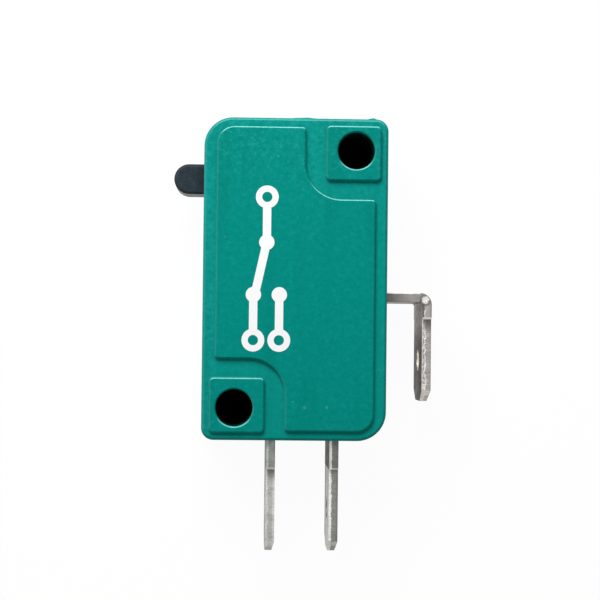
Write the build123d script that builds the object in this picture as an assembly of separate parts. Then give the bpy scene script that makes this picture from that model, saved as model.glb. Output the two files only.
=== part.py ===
from build123d import *
from math import atan, cos, degrees, radians, sin, tan
import os

# A snap-action limit switch of the miniature basic-switch size, in millimetres.
# X runs from the plunger side to the common-terminal side.
# Y runs from the blade terminals to the far end of the housing.
# Z runs from the back of the housing to its front cover.
# The origin is the centre of the lower mounting hole, at the back face.

# Housing
body_width = 15.9
body_height = 27.8
body_depth = 10.3
hole_pitch_x = 10.3
hole_pitch_y = 22.2
mounting_hole_diameter = 3.2
hole_mouth_bevel = 0.12
wall = 1.3
floor = 1.4
large_corner = 2.5
small_corner = 1.05
rim_bevel = 0.22
cavity_corner = 0.6
hole_boss_diameter = 5.0

# Raised panel and square lands on both outer faces
panel_rise = 0.45
panel_inset_x = 1.1
panel_inset_y = 0.8
panel_corner = 1.5
panel_notch_end = 0.3
panel_edge_bevel = 0.13
notch_width = 6.05
notch_height = 6.2
notch_corner = 3.1
land_outer_reach = 2.15
land_inner_reach = 2.6
land_corner = 0.4

# Locating pegs of the cover, at places given from the housing centre
peg_diameter = 1.0
peg_length = 2.0
peg_post_side = 2.3
peg_clearance = 0.04
peg_places = [(0.6, 11.9), (5.9, -11.9)]

# Plunger
plunger_y = 19.9
plunger_width = 2.63
plunger_depth = 3.4
plunger_protrusion = 2.69
plunger_travel = 2.2
plunger_shoulder_width = 4.0
plunger_shoulder_length = 3.0
plunger_nose_width = 2.2
plunger_nose_radius = 1.5
plunger_edge_bevel = 0.18
plunger_clearance = 0.06
plunger_to_lever = 0.1
guide_wall = 0.8

# Flat brass terminals, the quick-connect blade of 6.35 by 0.8
blade_width = 6.35
blade_thickness = 0.8
blade_length = 7.2
blade_tip_thickness = 0.42
blade_tip_length = 0.85
blade_corner_cut = 1.0
blade_corner_width = 1.5
blade_hole_diameter = 1.85
blade_hole_from_tip = 3.55
stem_width = 7.0
stem_outside = 2.55
anchor_width = 8.0
slot_clearance = 0.02

# Fixed terminals at the lower end
blade_pitch = 5.5
contact_x = 5.95
contact_y = 1.6
anchor_top = 5.0

# Common terminal through the side wall, bent down beside the housing
common_y = 9.65
common_standoff = 3.2
common_bend_radius = 1.0
common_inner_bend = 0.2
common_shoulder_y = 7.8
common_tip_y = 0.6
prong_reach = 0.75
prong_slot_width = 3.0
prong_slot_end = 1.25
groove_depth = 0.3
groove_half_angle = 45.0

# Contact rivets
fixed_head_height = 0.9
contact_head_diameter = 2.8
contact_shank_diameter = 1.5
contact_tail_diameter = 2.2
contact_tail_height = 0.3
contact_crown = 0.1
contact_gap = 0.5
contact_touch = 0.02

# Snap mechanism: a contact arm and an actuating lever on knife edges, drawn together by a spring
knife_half_angle = 25.0
knife_clearance = 0.03
rocker_width = 5.9
arm_thickness = 0.3
arm_head_width = 3.7
arm_overhang = 1.7
lever_thickness = 0.4
lever_head_width = 5.0
lever_length = 11.4
lever_corner = 1.0
lever_lean = 12.1
pivot_offset = 0.95
arm_hook_reach = 5.52
lever_hook_reach = 7.7
hook_bar_width = 0.5
hook_eye_length = 0.75
hook_eye_width = 0.9

# Tension spring
wire_diameter = 0.3
coil_diameter = 2.1
coil_turns = 9
wire_sides = 5
hook_leg = 1.1
hook_stub = 0.45
hook_bend_angle = 20.0
hook_bend_height = 0.45
hook_play = 0.1
hook_stretch = 0.2

# Places that follow from the sizes above
center_x = hole_pitch_x / 2
center_y = hole_pitch_y / 2
mid_z = body_depth / 2
left_face = center_x - body_width / 2
right_face = center_x + body_width / 2
bottom_face = center_y - body_height / 2
parting_z = mid_z + plunger_depth / 2 + plunger_clearance
guide_length = plunger_clearance + plunger_shoulder_length + plunger_travel
slot_half = blade_thickness / 2 + slot_clearance
closed_x = contact_x - blade_pitch / 2
open_x = contact_x + blade_pitch / 2
common_blade_x = right_face + common_standoff + blade_thickness / 2
common_prong_end = contact_x - prong_reach
moving_contact_length = (
    blade_pitch - blade_thickness - 2 * fixed_head_height - contact_gap - 2 * contact_touch
)
arm_pivot = Vector(contact_x, common_y - blade_thickness / 2 + groove_depth - knife_clearance)
lever_pivot = Vector(
    contact_x + pivot_offset, common_y + blade_thickness / 2 - groove_depth + knife_clearance
)
prong_slot_end_x = lever_pivot.X + prong_slot_end
arm_reach = arm_pivot.Y - contact_y
arm_swing = degrees(2 * atan(contact_gap / 2 / arm_reach))
arm_lean = -arm_swing / 2


def spin(vector, angle):
    """Turn a vector in the XY plane by an angle in degrees."""
    turn = radians(angle)
    return Vector(
        vector.X * cos(turn) - vector.Y * sin(turn), vector.X * sin(turn) + vector.Y * cos(turn)
    )


arm_hook = arm_pivot + spin(Vector(0, -arm_hook_reach), arm_lean)
lever_hook = lever_pivot + spin(Vector(0, lever_hook_reach), lever_lean)


def plunger_nose_x():
    """Place of the plunger's inner end, a small gap short of the lever's face."""
    lean = radians(lever_lean)
    reach = plunger_nose_radius + plunger_to_lever + lever_thickness / 2
    rise = plunger_y - lever_pivot.Y
    return lever_pivot.X - (reach + rise * sin(lean)) / cos(lean) + plunger_nose_radius


def slab(low, high):
    """Plain block between two corners."""
    size = Vector(*high) - Vector(*low)
    middle = (Vector(*high) + Vector(*low)) / 2
    return Location(middle) * Box(size.X, size.Y, size.Z)


def across(sketch, low_z, high_z):
    """Extrude a sketch in the XY plane between two heights."""
    return Pos(0, 0, low_z) * extrude(sketch, high_z - low_z)


def hole_centers():
    """Centres of the two mounting holes."""
    return [(0, 0), (hole_pitch_x, hole_pitch_y)]


def housing_outline(inset, least_corner):
    """Outline of the housing drawn in by an inset, two corners large and two small."""
    sheet = Pos(center_x, center_y) * Rectangle(body_width - 2 * inset, body_height - 2 * inset)
    for radius, side in ((large_corner, -1), (small_corner, 1)):
        corners = [
            v for v in sheet.vertices()
            if abs(v.X - center_x) > body_width / 2 - inset - 0.001
            and abs(v.Y - center_y) > body_height / 2 - inset - 0.001
            and (v.X - center_x) * (v.Y - center_y) * side > 0
        ]
        sheet = fillet(corners, max(radius - inset, least_corner))
    return sheet


def panel_outline():
    """Raised panel: a rectangle with a rounded notch round each mounting hole."""
    half_x = body_width / 2 - panel_inset_x
    half_y = body_height / 2 - panel_inset_y
    panel = Rectangle(2 * half_x, 2 * half_y)
    for side in (-1, 1):
        panel -= Pos(side * half_x, side * half_y) * Rectangle(2 * notch_width, 2 * notch_height)
    for side in (-1, 1):
        inner_x = side * (half_x - notch_width)
        inner_y = side * (half_y - notch_height)
        for place, radius in (
            ((inner_x, inner_y), notch_corner),
            ((inner_x, side * half_y), panel_notch_end),
            ((side * half_x, inner_y), panel_notch_end),
            ((side * half_x, -side * half_y), panel_corner),
        ):
            panel = fillet(panel.vertices().sort_by_distance(place)[0], radius)
    return Pos(center_x, center_y) * panel


def land_outline():
    """Square land round each mounting hole, reaching further inward than outward."""
    side = land_outer_reach + land_inner_reach
    shift = (land_inner_reach - land_outer_reach) / 2
    lands = Sketch()
    for (x, y), way in zip(hole_centers(), (1, -1)):
        lands += Pos(x + way * shift, y + way * shift) * RectangleRounded(side, side, land_corner)
    return lands


def peg_centers():
    """Centres of the locating pegs."""
    return [(center_x + x, center_y + y) for x, y in peg_places]


def guide_outline(extra):
    """Footprint of the plunger's guide, widened by an extra on its long sides."""
    half = plunger_shoulder_width / 2 + plunger_clearance + extra
    inner_face = left_face + wall
    return Pos(inner_face + guide_length / 2, plunger_y) * Rectangle(guide_length, 2 * half)


def hollow_outline():
    """Hollow of the housing, less the bosses round the mounting holes."""
    hollow = housing_outline(wall, cavity_corner)
    for x, y in hole_centers():
        hollow -= Pos(x, y) * Circle(hole_boss_diameter / 2)
    return hollow


def housing_half(height):
    """One moulded half, outer face down at zero height and open at the top."""
    shell = across(housing_outline(0, small_corner), panel_rise, height)
    shell = chamfer(shell.edges().group_by(Axis.Z)[0], rim_bevel)
    raised = across(panel_outline() + land_outline(), 0, floor)
    shell += chamfer(raised.edges().group_by(Axis.Z)[0], panel_edge_bevel)
    shell -= across(hollow_outline(), floor, height)
    for x, y in hole_centers():
        radius = mounting_hole_diameter / 2
        shell -= Pos(x, y, height / 2) * Cylinder(radius, height)
        mouth = Cone(radius + hole_mouth_bevel, radius, hole_mouth_bevel)
        shell -= Pos(x, y, hole_mouth_bevel / 2) * mouth
    return shell


def terminal_slots():
    """Slots in the walls and grooves in the floors that hold the three terminals."""
    stem_half = stem_width / 2 + slot_clearance
    anchor_half = anchor_width / 2 + slot_clearance
    inner_bottom = bottom_face + wall
    inner_right = right_face - wall
    slots = Part()
    for x in (closed_x, open_x):
        slots += slab(
            (x - slot_half, bottom_face - wall, mid_z - stem_half),
            (x + slot_half, inner_bottom, mid_z + stem_half),
        )
        slots += slab(
            (x - slot_half, inner_bottom, mid_z - anchor_half),
            (x + slot_half, anchor_top + slot_clearance, mid_z + anchor_half),
        )
    slots += slab(
        (inner_right, common_y - slot_half, mid_z - stem_half),
        (right_face + wall, common_y + slot_half, mid_z + stem_half),
    )
    slots += slab(
        (prong_slot_end_x - slot_clearance, common_y - slot_half, mid_z - anchor_half),
        (inner_right, common_y + slot_half, mid_z + anchor_half),
    )
    return slots


def make_rear_case():
    """Deep rear half: terminal slots, plunger guide and posts with sockets for the pegs."""
    case = housing_half(parting_z)
    channel_floor = mid_z - plunger_depth / 2 - plunger_clearance
    case += across(guide_outline(guide_wall), floor, parting_z)
    case -= across(guide_outline(0), channel_floor, parting_z)
    doorway = plunger_width / 2 + plunger_clearance
    case -= slab(
        (left_face - wall, plunger_y - doorway, channel_floor),
        (left_face + wall, plunger_y + doorway, parting_z),
    )
    case -= terminal_slots()
    for x, y in peg_centers():
        case += across(Pos(x, y) * Rectangle(peg_post_side, peg_post_side), floor, parting_z)
        depth = peg_length + peg_clearance
        socket = Cylinder(peg_diameter / 2 + peg_clearance, depth)
        case -= Pos(x, y, parting_z - depth / 2) * socket
    return case


def make_front_cover():
    """Shallow front half: it closes the slots and the guide from above and carries the pegs."""
    height = body_depth - parting_z
    cover = Pos(0, 0, body_depth) * mirror(housing_half(height), Plane.XY)
    cover += across(guide_outline(guide_wall), parting_z, body_depth - floor)
    cover -= terminal_slots()
    reach = body_depth - floor - parting_z + peg_length
    for x, y in peg_centers():
        peg = Cylinder(peg_diameter / 2, reach)
        cover += Pos(x, y, parting_z - peg_length + reach / 2) * peg
    return cover


def make_plunger():
    """Flat plunger with a round tip outside, a retaining shoulder and a round nose inside."""
    half = plunger_width / 2
    shoulder = plunger_shoulder_width / 2
    nose = plunger_nose_width / 2
    tip_x = left_face - plunger_protrusion
    stop_x = left_face + wall + plunger_clearance
    shoulder_end = stop_x + plunger_shoulder_length
    nose_x = plunger_nose_x()
    nose_start = nose_x - plunger_nose_radius + (plunger_nose_radius ** 2 - nose ** 2) ** 0.5
    with BuildSketch() as outline:
        with BuildLine():
            ThreePointArc((tip_x + half, half), (tip_x, 0), (tip_x + half, -half))
            Polyline(
                (tip_x + half, -half), (stop_x, -half), (stop_x, -shoulder),
                (shoulder_end, -shoulder), (shoulder_end, -nose), (nose_start, -nose),
            )
            ThreePointArc((nose_start, -nose), (nose_x, 0), (nose_start, nose))
            Polyline(
                (nose_start, nose), (shoulder_end, nose), (shoulder_end, shoulder),
                (stop_x, shoulder), (stop_x, half), (tip_x + half, half),
            )
        make_face()
    bar = across(outline.sketch, -plunger_depth / 2, plunger_depth / 2)
    rims = bar.edges().group_by(Axis.Z)[0] + bar.edges().group_by(Axis.Z)[-1]
    bar = chamfer(rims, plunger_edge_bevel)
    return Pos(0, plunger_y, mid_z) * bar


def blade_outline(shoulder, tip):
    """Face of a blade from its shoulder down to its tip, with its two corners cut."""
    half = blade_width / 2
    return Polygon(
        (-half, shoulder), (half, shoulder), (half, tip + blade_corner_cut),
        (half - blade_corner_width, tip), (-half + blade_corner_width, tip),
        (-half, tip + blade_corner_cut), align=None,
    )


def coined(section_x, tip):
    """Wedges that thin a blade to its tip on both faces."""
    thick = blade_thickness / 2
    thin = blade_tip_thickness / 2
    wedges = Part()
    for side in (-1, 1):
        corner = Polygon(
            (section_x + side * thick, tip + blade_tip_length),
            (section_x + side * thin, tip), (section_x + side * 2 * thick, tip), align=None,
        )
        wedges += across(corner, mid_z - blade_width, mid_z + blade_width)
    return wedges


def face_on(sketch, x, thickness):
    """Stand a sketch, drawn as Z by Y, across the X axis with a thickness about x."""
    plate = extrude(sketch, thickness / 2, both=True)
    return Pos(x, 0, mid_z) * Rot(0, -90, 0) * plate


def blade_hole(x, tip):
    """Locking hole of a blade."""
    drill = Rot(0, 90, 0) * Cylinder(blade_hole_diameter / 2, 2 * blade_thickness)
    return Pos(x, tip + blade_hole_from_tip, mid_z) * drill


def make_fixed_terminal(x):
    """Straight terminal: blade, wider stem, and an anchor plate inside that carries a contact."""
    shoulder = bottom_face - stem_outside
    tip = shoulder - blade_length
    inner_bottom = bottom_face + wall + slot_clearance
    face = blade_outline(shoulder, tip)
    face += Pos(0, (shoulder + inner_bottom) / 2) * Rectangle(stem_width, inner_bottom - shoulder)
    anchor = Rectangle(anchor_width, anchor_top - inner_bottom)
    face += Pos(0, (anchor_top + inner_bottom) / 2) * anchor
    terminal = face_on(face, x, blade_thickness)
    terminal -= coined(x, tip)
    terminal -= blade_hole(x, tip)
    rivet_hole = Rot(0, 90, 0) * Cylinder(contact_shank_diameter / 2, 2 * blade_thickness)
    return terminal - Pos(x, contact_y, mid_z) * rivet_hole


def make_common_terminal():
    """Bent terminal: forked inner end with knife-edge grooves, stem, bend and blade."""
    half = blade_thickness / 2
    inner_right = right_face - wall - slot_clearance
    side = Polygon(
        (common_prong_end, common_y - half), (common_blade_x - half, common_y - half),
        (common_blade_x - half, common_tip_y), (common_blade_x + half, common_tip_y),
        (common_blade_x + half, common_y + half), (common_prong_end, common_y + half),
        align=None,
    )
    outer = side.vertices().sort_by_distance((common_blade_x + half, common_y + half))[0]
    side = fillet(outer, common_bend_radius)
    inner = side.vertices().sort_by_distance((common_blade_x - half, common_y - half))[0]
    side = fillet(inner, common_inner_bend)
    for face_y, way in ((common_y - half, 1), (common_y + half, -1)):
        x = arm_pivot.X if way > 0 else lever_pivot.X
        spread = groove_depth * tan(radians(groove_half_angle))
        side -= Polygon(
            (x - spread, face_y), (x + spread, face_y), (x, face_y + way * groove_depth),
            align=None,
        )
    strip = across(side, mid_z - anchor_width / 2, mid_z + anchor_width / 2)
    trim = blade_outline(common_shoulder_y, common_tip_y)
    stem_top = common_y + 2 * half
    trim += Pos(0, (common_shoulder_y + stem_top) / 2) * Rectangle(
        stem_width, stem_top - common_shoulder_y
    )
    outside = face_on(trim, (inner_right + common_blade_x) / 2, 2 * (common_blade_x - inner_right))
    outside &= slab(
        (inner_right, common_tip_y, 0), (common_blade_x + half, stem_top, body_depth)
    )
    fork = slab(
        (prong_slot_end_x, common_y - half, mid_z - anchor_width / 2),
        (inner_right, common_y + half, mid_z + anchor_width / 2),
    )
    fork += slab(
        (common_prong_end, common_y - half, mid_z - blade_width / 2),
        (prong_slot_end_x, common_y + half, mid_z + blade_width / 2),
    )
    fork -= slab(
        (common_prong_end, common_y - half, mid_z - prong_slot_width / 2),
        (prong_slot_end_x, common_y + half, mid_z + prong_slot_width / 2),
    )
    terminal = strip & (outside + fork)
    terminal -= coined(common_blade_x, common_tip_y)
    return terminal - blade_hole(common_blade_x, common_tip_y)


def contact_head(base_x, height, way):
    """Slightly crowned contact head that stands on a face across the X axis."""
    radius = contact_head_diameter / 2
    crown_radius = (radius ** 2 + contact_crown ** 2) / (2 * contact_crown)
    barrel = Pos(height / 2, 0, 0) * Rot(0, 90, 0) * Cylinder(radius, height)
    head = barrel & Pos(height - crown_radius, 0, 0) * Sphere(crown_radius)
    turn = 0 if way > 0 else 180
    return Pos(base_x, contact_y, mid_z) * Rot(0, 0, turn) * head


def x_pin(start_x, end_x, diameter):
    """Round pin along X at the height of the contacts."""
    pin = Rot(0, 90, 0) * Cylinder(diameter / 2, end_x - start_x)
    return Pos((start_x + end_x) / 2, contact_y, mid_z) * pin


def make_fixed_contact(x, way):
    """Contact rivet through a fixed terminal, its head facing the moving contact."""
    half = blade_thickness / 2
    rivet = contact_head(x + way * half, fixed_head_height, way)
    rivet += x_pin(x - half, x + half, contact_shank_diameter)
    tail = sorted((x - way * half, x - way * (half + contact_tail_height)))
    return rivet + x_pin(tail[0], tail[1], contact_tail_diameter)


def make_moving_contact():
    """Two-headed contact rivet through the contact arm, turned with the arm."""
    half = arm_thickness / 2
    height = moving_contact_length / 2 - half
    rivet = x_pin(contact_x - half, contact_x + half, contact_shank_diameter)
    for way in (-1, 1):
        rivet += contact_head(contact_x + way * half, height, way)
    return turned(rivet, arm_pivot, arm_lean)


def turned(shape, pivot, angle):
    """Turn a shape about a pivot, parallel to Z."""
    there = Pos(pivot.X, pivot.Y, 0)
    back = Pos(-pivot.X, -pivot.Y, 0)
    return there * Rot(0, 0, angle) * back * shape


def rocker_plate(length, head_width, thickness, hook_reach, tip_corner):
    """Stamped rocker drawn upward from its knife edge at the origin, across Z and thick in X."""
    knife = thickness / 2 / tan(radians(knife_half_angle))
    section = Polygon(
        (0, 0), (thickness / 2, knife), (thickness / 2, length),
        (-thickness / 2, length), (-thickness / 2, knife), align=None,
    )
    window_end = hook_reach - hook_bar_width
    head_start = hook_reach + hook_eye_length / 2
    face = Pos(0, head_start / 2) * Rectangle(rocker_width, head_start)
    face += Pos(0, length / 2) * Rectangle(head_width, length)
    tips = [v for v in face.vertices() if abs(v.Y - length) < 0.001]
    face = fillet(tips, tip_corner)
    shoulders = [
        v for v in face.vertices()
        if abs(v.Y - head_start) < 0.001 and abs(v.X) > rocker_width / 2 - 0.001
    ]
    face = fillet(shoulders, (rocker_width - head_width) / 4)
    face -= Pos(0, window_end / 2) * Rectangle(prong_slot_width, window_end)
    eye = RectangleRounded(hook_eye_width, hook_eye_length, hook_eye_length / 4)
    face -= Pos(0, hook_reach + hook_eye_length / 2) * eye
    plate = Rot(0, -90, 0) * extrude(face, thickness, both=True)
    return plate & across(section, -rocker_width, rocker_width)


def make_contact_arm():
    """Contact arm hanging from the underside of the prongs, with the hole for its contact."""
    plate = rocker_plate(
        arm_reach + arm_overhang, arm_head_width, arm_thickness, arm_hook_reach,
        arm_head_width / 3,
    )
    rivet_hole = Rot(0, 90, 0) * Cylinder(contact_shank_diameter / 2, 2 * blade_thickness)
    plate -= Pos(0, arm_reach, 0) * rivet_hole
    return Pos(arm_pivot.X, arm_pivot.Y, mid_z) * Rot(0, 0, 180 + arm_lean) * plate


def make_actuating_lever():
    """Actuating lever standing on top of the prongs and leaning on the plunger."""
    plate = rocker_plate(
        lever_length, lever_head_width, lever_thickness, lever_hook_reach, lever_corner
    )
    return Pos(lever_pivot.X, lever_pivot.Y, mid_z) * Rot(0, 0, lever_lean) * plate


def spring_path(hook_pitch):
    """Wire path along Z: an open hook, a tight bend, the coil, and the same again turned over."""
    radius = coil_diameter / 2
    coil_height = hook_pitch - 2 * hook_leg
    turns = coil_turns - 2 * hook_bend_angle / 360
    coil = Edge.make_helix(coil_height / turns, coil_height, radius, center=(0, 0, hook_leg))
    coil = coil.rotate(Axis.Z, hook_bend_angle)
    leg_end = Vector(radius, 0, hook_leg - hook_bend_height)
    hook = [
        Edge.make_line(Vector(-radius, 0, hook_stub), Vector(-radius, 0, 0)),
        Edge.make_three_point_arc(
            Vector(-radius, 0, 0), Vector(0, 0, -radius), Vector(radius, 0, 0)
        ),
        Edge.make_line(Vector(radius, 0, 0), leg_end),
        Edge.make_spline([leg_end, coil.position_at(0)], [Vector(0, 0, 1), coil.tangent_at(0)]),
    ]
    half_turn = Axis((0, 0, hook_pitch / 2), (1, 0, 0))
    other_hook = [edge.rotate(half_turn, 180) for edge in reversed(hook)]
    return Wire(hook + [coil] + other_hook)


def make_tension_spring():
    """Coil spring stretched between the two hook bars, with some play round each bar."""
    inner = (coil_diameter - wire_diameter) / 2
    along = (lever_hook - arm_hook).normalized()
    slack = hook_play + hook_stretch
    hook_pitch = (lever_hook - arm_hook).length - 2 * inner + hook_play + slack
    path = spring_path(hook_pitch)
    section = RegularPolygon(wire_diameter / 2, wire_sides)
    spring = sweep(Plane(path.position_at(0), z_dir=path.tangent_at(0)) * section, path=path)
    start = arm_hook + along * (inner - slack)
    seat = Plane(
        (start.X, start.Y, mid_z), x_dir=(along.Y, -along.X, 0), z_dir=(along.X, along.Y, 0)
    )
    return seat * spring


if __name__ == "__main__":
    os.makedirs("parts", exist_ok=True)
    pieces = {
        "rear_case": make_rear_case(),
        "front_cover": make_front_cover(),
        "plunger": make_plunger(),
        "normally_closed_terminal": make_fixed_terminal(closed_x),
        "normally_open_terminal": make_fixed_terminal(open_x),
        "common_terminal": make_common_terminal(),
        "normally_closed_contact": make_fixed_contact(closed_x, 1),
        "normally_open_contact": make_fixed_contact(open_x, -1),
        "contact_arm": make_contact_arm(),
        "moving_contact": make_moving_contact(),
        "actuating_lever": make_actuating_lever(),
        "tension_spring": make_tension_spring(),
    }
    for name, piece in pieces.items():
        export_step(piece, f"parts/{name}.step")
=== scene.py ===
import logging
import math
from dataclasses import dataclass, field
from enum import Enum
from typing import Dict, List, Optional, Sequence, Tuple, Union

import bmesh
import bpy
from mathutils import Matrix, Vector


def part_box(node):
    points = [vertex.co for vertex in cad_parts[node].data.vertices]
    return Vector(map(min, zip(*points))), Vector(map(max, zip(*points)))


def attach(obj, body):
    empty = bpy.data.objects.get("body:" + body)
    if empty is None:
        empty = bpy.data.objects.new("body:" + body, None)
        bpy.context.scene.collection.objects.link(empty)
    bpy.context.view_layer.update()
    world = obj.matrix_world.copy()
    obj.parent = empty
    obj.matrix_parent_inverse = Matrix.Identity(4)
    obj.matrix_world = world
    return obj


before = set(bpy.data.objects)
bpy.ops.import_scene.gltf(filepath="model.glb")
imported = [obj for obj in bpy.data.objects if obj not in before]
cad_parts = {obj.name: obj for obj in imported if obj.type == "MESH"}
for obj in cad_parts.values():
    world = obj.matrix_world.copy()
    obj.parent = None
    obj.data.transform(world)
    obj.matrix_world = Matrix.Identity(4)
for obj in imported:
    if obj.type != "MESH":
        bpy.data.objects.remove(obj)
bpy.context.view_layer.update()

log = logging.getLogger("limit_switch")

Colour = Tuple[float, float, float, float]
Point = Tuple[float, float, float]
Spot = Tuple[float, float]
Ramp = Tuple[float, ...]  # start and end of a range and, where it has them, what they become
Layers = Tuple[float, float]  # finer layers of a noise and their strength
Cloud = Tuple[float, float, float]  # size of its patches and its layers
Thing = bpy.types.Object
Node = bpy.types.Node
Socket = bpy.types.NodeSocket
Sockets = bpy.types.NodeOutputs
Value = Union[float, Colour, Point, Socket]
Given = Dict[Union[str, int], Value]
Layer = Tuple[Socket, float, Value]  # mask, strength and tone

MM = 0.001
BODY = "switch_body"
BORES: Tuple[Point, ...] = ((0.0, 0.0, 0.0), (10.3 * MM, 22.2 * MM, 0.0))
NOISE_MEAN = 0.5
WHITE: Colour = (1.0, 1.0, 1.0, 1.0)
BLACK: Colour = (0.0, 0.0, 0.0, 1.0)
KNEE, SLOPE, LIFT, POWER = 0.04045, 12.92, 0.055, 2.4  # of the display's colour curve
MIX_SHARE, MIX_UNDER, MIX_OVER, MIX_RESULT = 0, 6, 7, 2  # places of a colour mix's sockets


def tone(red: int, green: int, blue: int) -> Colour:
    """Turn a display colour into the linear colour that a shader takes.

    Args:
        red: Red share of the display colour, 0 to 255.
        green: Green share, 0 to 255.
        blue: Blue share, 0 to 255.

    Returns:
        The linear colour with full alpha.
    """
    linear = []
    for share in (red / 255, green / 255, blue / 255):
        curved = ((share + LIFT) / (1 + LIFT)) ** POWER
        linear.append(share / SLOPE if share <= KNEE else curved)
    return linear[0], linear[1], linear[2], 1.0


def circle(centre: Point, radius: float, sides: int) -> List[Vector]:
    """Lay points on a level circle, counter-clockwise from above.

    Args:
        centre: Its middle.
        radius: Its radius.
        sides: How many points it has.

    Returns:
        The points.
    """
    turns = [2 * math.pi * k / sides for k in range(sides)]
    middle = Vector(centre)
    return [middle + Vector((radius * math.cos(t), radius * math.sin(t), 0)) for t in turns]


class Arithmetic(Enum):
    """Operations of a math node."""

    ADD = "ADD"
    SUBTRACT = "SUBTRACT"
    MULTIPLY = "MULTIPLY"
    DIVIDE = "DIVIDE"
    ABSOLUTE = "ABSOLUTE"
    MAXIMUM = "MAXIMUM"
    GREATER = "GREATER_THAN"


class Join(Enum):
    """Ways to lay one colour over another."""

    MIX = "MIX"
    MULTIPLY = "MULTIPLY"
    ADD = "ADD"


class Kind(Enum):
    """Kinds of group sockets."""

    NUMBER = "NodeSocketFloat"
    COLOUR = "NodeSocketColor"
    VECTOR = "NodeSocketVector"


class Graph:
    """Adds and joins the nodes of one shader tree.

    Args:
        tree: The node tree that the nodes go into.
    """

    def __init__(self, tree: bpy.types.NodeTree) -> None:
        """Keep the tree."""
        self.tree = tree

    def feed(self, node: Node, values: Given) -> None:
        """Give inputs of a node their constants or links.

        Args:
            node: The node.
            values: A constant, or the output to link, for each input by name or place.
        """
        for name, value in values.items():
            if isinstance(value, Socket):
                self.tree.links.new(value, node.inputs[name])
            else:
                node.inputs[name].default_value = value

    def node(self, kind: str, values: Optional[Given] = None, **settings: object) -> Node:
        """Add a node.

        Args:
            kind: Blender's name of the node type.
            values: Constants or links for its inputs.
            settings: Properties of the node by name.

        Returns:
            The new node.
        """
        made = self.tree.nodes.new(kind)
        for name, setting in settings.items():
            setattr(made, name, setting)
        self.feed(made, values or {})
        return made

    def math(self, operation: Arithmetic, first: Value, second: Value = 0.0) -> Socket:
        """Join two numbers."""
        made = self.node("ShaderNodeMath", {0: first, 1: second}, operation=operation.value)
        return made.outputs[0]

    def plus(self, first: Value, second: Value) -> Socket:
        """Sum of two numbers."""
        return self.math(Arithmetic.ADD, first, second)

    def minus(self, first: Value, second: Value) -> Socket:
        """First number less the second."""
        return self.math(Arithmetic.SUBTRACT, first, second)

    def times(self, first: Value, second: Value) -> Socket:
        """Product of two numbers."""
        return self.math(Arithmetic.MULTIPLY, first, second)

    def over(self, first: Value, second: Value) -> Socket:
        """First number divided by the second."""
        return self.math(Arithmetic.DIVIDE, first, second)

    def larger(self, first: Value, second: Value) -> Socket:
        """Larger of two numbers."""
        return self.math(Arithmetic.MAXIMUM, first, second)

    def exceeds(self, first: Value, second: Value) -> Socket:
        """One where the first number is greater than the second, else nought."""
        return self.math(Arithmetic.GREATER, first, second)

    def unsigned(self, value: Value) -> Socket:
        """A number without its sign."""
        return self.math(Arithmetic.ABSOLUTE, value)

    def spread(
        self, value: Value, low: float, high: float, to_low: float = 0.0, to_high: float = 1.0
    ) -> Socket:
        """Map a number smoothly from one range to another, kept inside it.

        Args:
            value: The number.
            low: Start of its range.
            high: End of its range.
            to_low: What the start becomes.
            to_high: What the end becomes.

        Returns:
            The mapped number's socket.
        """
        return self.node("ShaderNodeMapRange", {
            "Value": value, "From Min": low, "From Max": high, "To Min": to_low, "To Max": to_high,
        }, interpolation_type="SMOOTHSTEP").outputs["Result"]

    def within(self, mask: Value, value: Value, ramp: Ramp) -> Socket:
        """Keep a mask only where a number lies along a ramp."""
        return self.times(mask, self.spread(value, *ramp))

    def blend(self, share: Value, under: Value, over: Value, join: Join = Join.MIX) -> Socket:
        """Lay one colour over another.

        Args:
            share: How much of the upper colour shows.
            under: The colour beneath.
            over: The colour on top.
            join: How the two are joined.

        Returns:
            The colour's socket.
        """
        made = self.node(
            "ShaderNodeMix", {MIX_SHARE: share, MIX_UNDER: under, MIX_OVER: over},
            data_type="RGBA", blend_type=join.value,
        )
        return made.outputs[MIX_RESULT]

    def lay(self, colour: Value, *layers: Layer) -> Value:
        """Lay tones over a colour, one after the other.

        Args:
            colour: The colour beneath.
            layers: Mask, strength and tone of each layer.

        Returns:
            The colour's socket.
        """
        for mask, strength, over in layers:
            colour = self.blend(self.times(mask, strength), colour, over)
        return colour

    def place(self) -> Socket:
        """Point on the surface in the part's own frame, in metres."""
        return self.node("ShaderNodeTexCoord").outputs["Object"]

    def facing(self) -> Socket:
        """Direction of the surface in the part's own frame."""
        return self.node("ShaderNodeTexCoord").outputs["Normal"]

    def normal(self) -> Socket:
        """Plain normal of the surface."""
        return self.node("ShaderNodeNewGeometry").outputs["Normal"]

    def axes(self, vector: Socket) -> Tuple[Socket, ...]:
        """Split a vector into its X, Y and Z."""
        return tuple(self.node("ShaderNodeSeparateXYZ", {0: vector}).outputs)

    def vectors(self, operation: str, first: Value, second: Value) -> Node:
        """Join two vectors."""
        return self.node("ShaderNodeVectorMath", {0: first, 1: second}, operation=operation)

    def scaled(self, vector: Value, scale: Value) -> Socket:
        """Scale a vector by its own amount along each axis."""
        return self.vectors("MULTIPLY", vector, scale).outputs[0]

    def apart(self, first: Value, second: Value) -> Socket:
        """Distance between two places."""
        return self.vectors("DISTANCE", first, second).outputs["Value"]

    def noise(self, vector: Socket, size: Value, detail: float, rough: float) -> Socket:
        """Cloudy noise whose patches have a real size.

        Args:
            vector: Place on the surface, in metres.
            size: Size of a patch, in metres.
            detail: How many finer layers it has.
            rough: How strong the finer layers are.

        Returns:
            The noise's socket, about 0.5 on average.
        """
        return self.node("ShaderNodeTexNoise", {
            "Vector": vector, "Scale": self.over(1.0, size), "Detail": detail, "Roughness": rough,
        }).outputs["Fac"]

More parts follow.
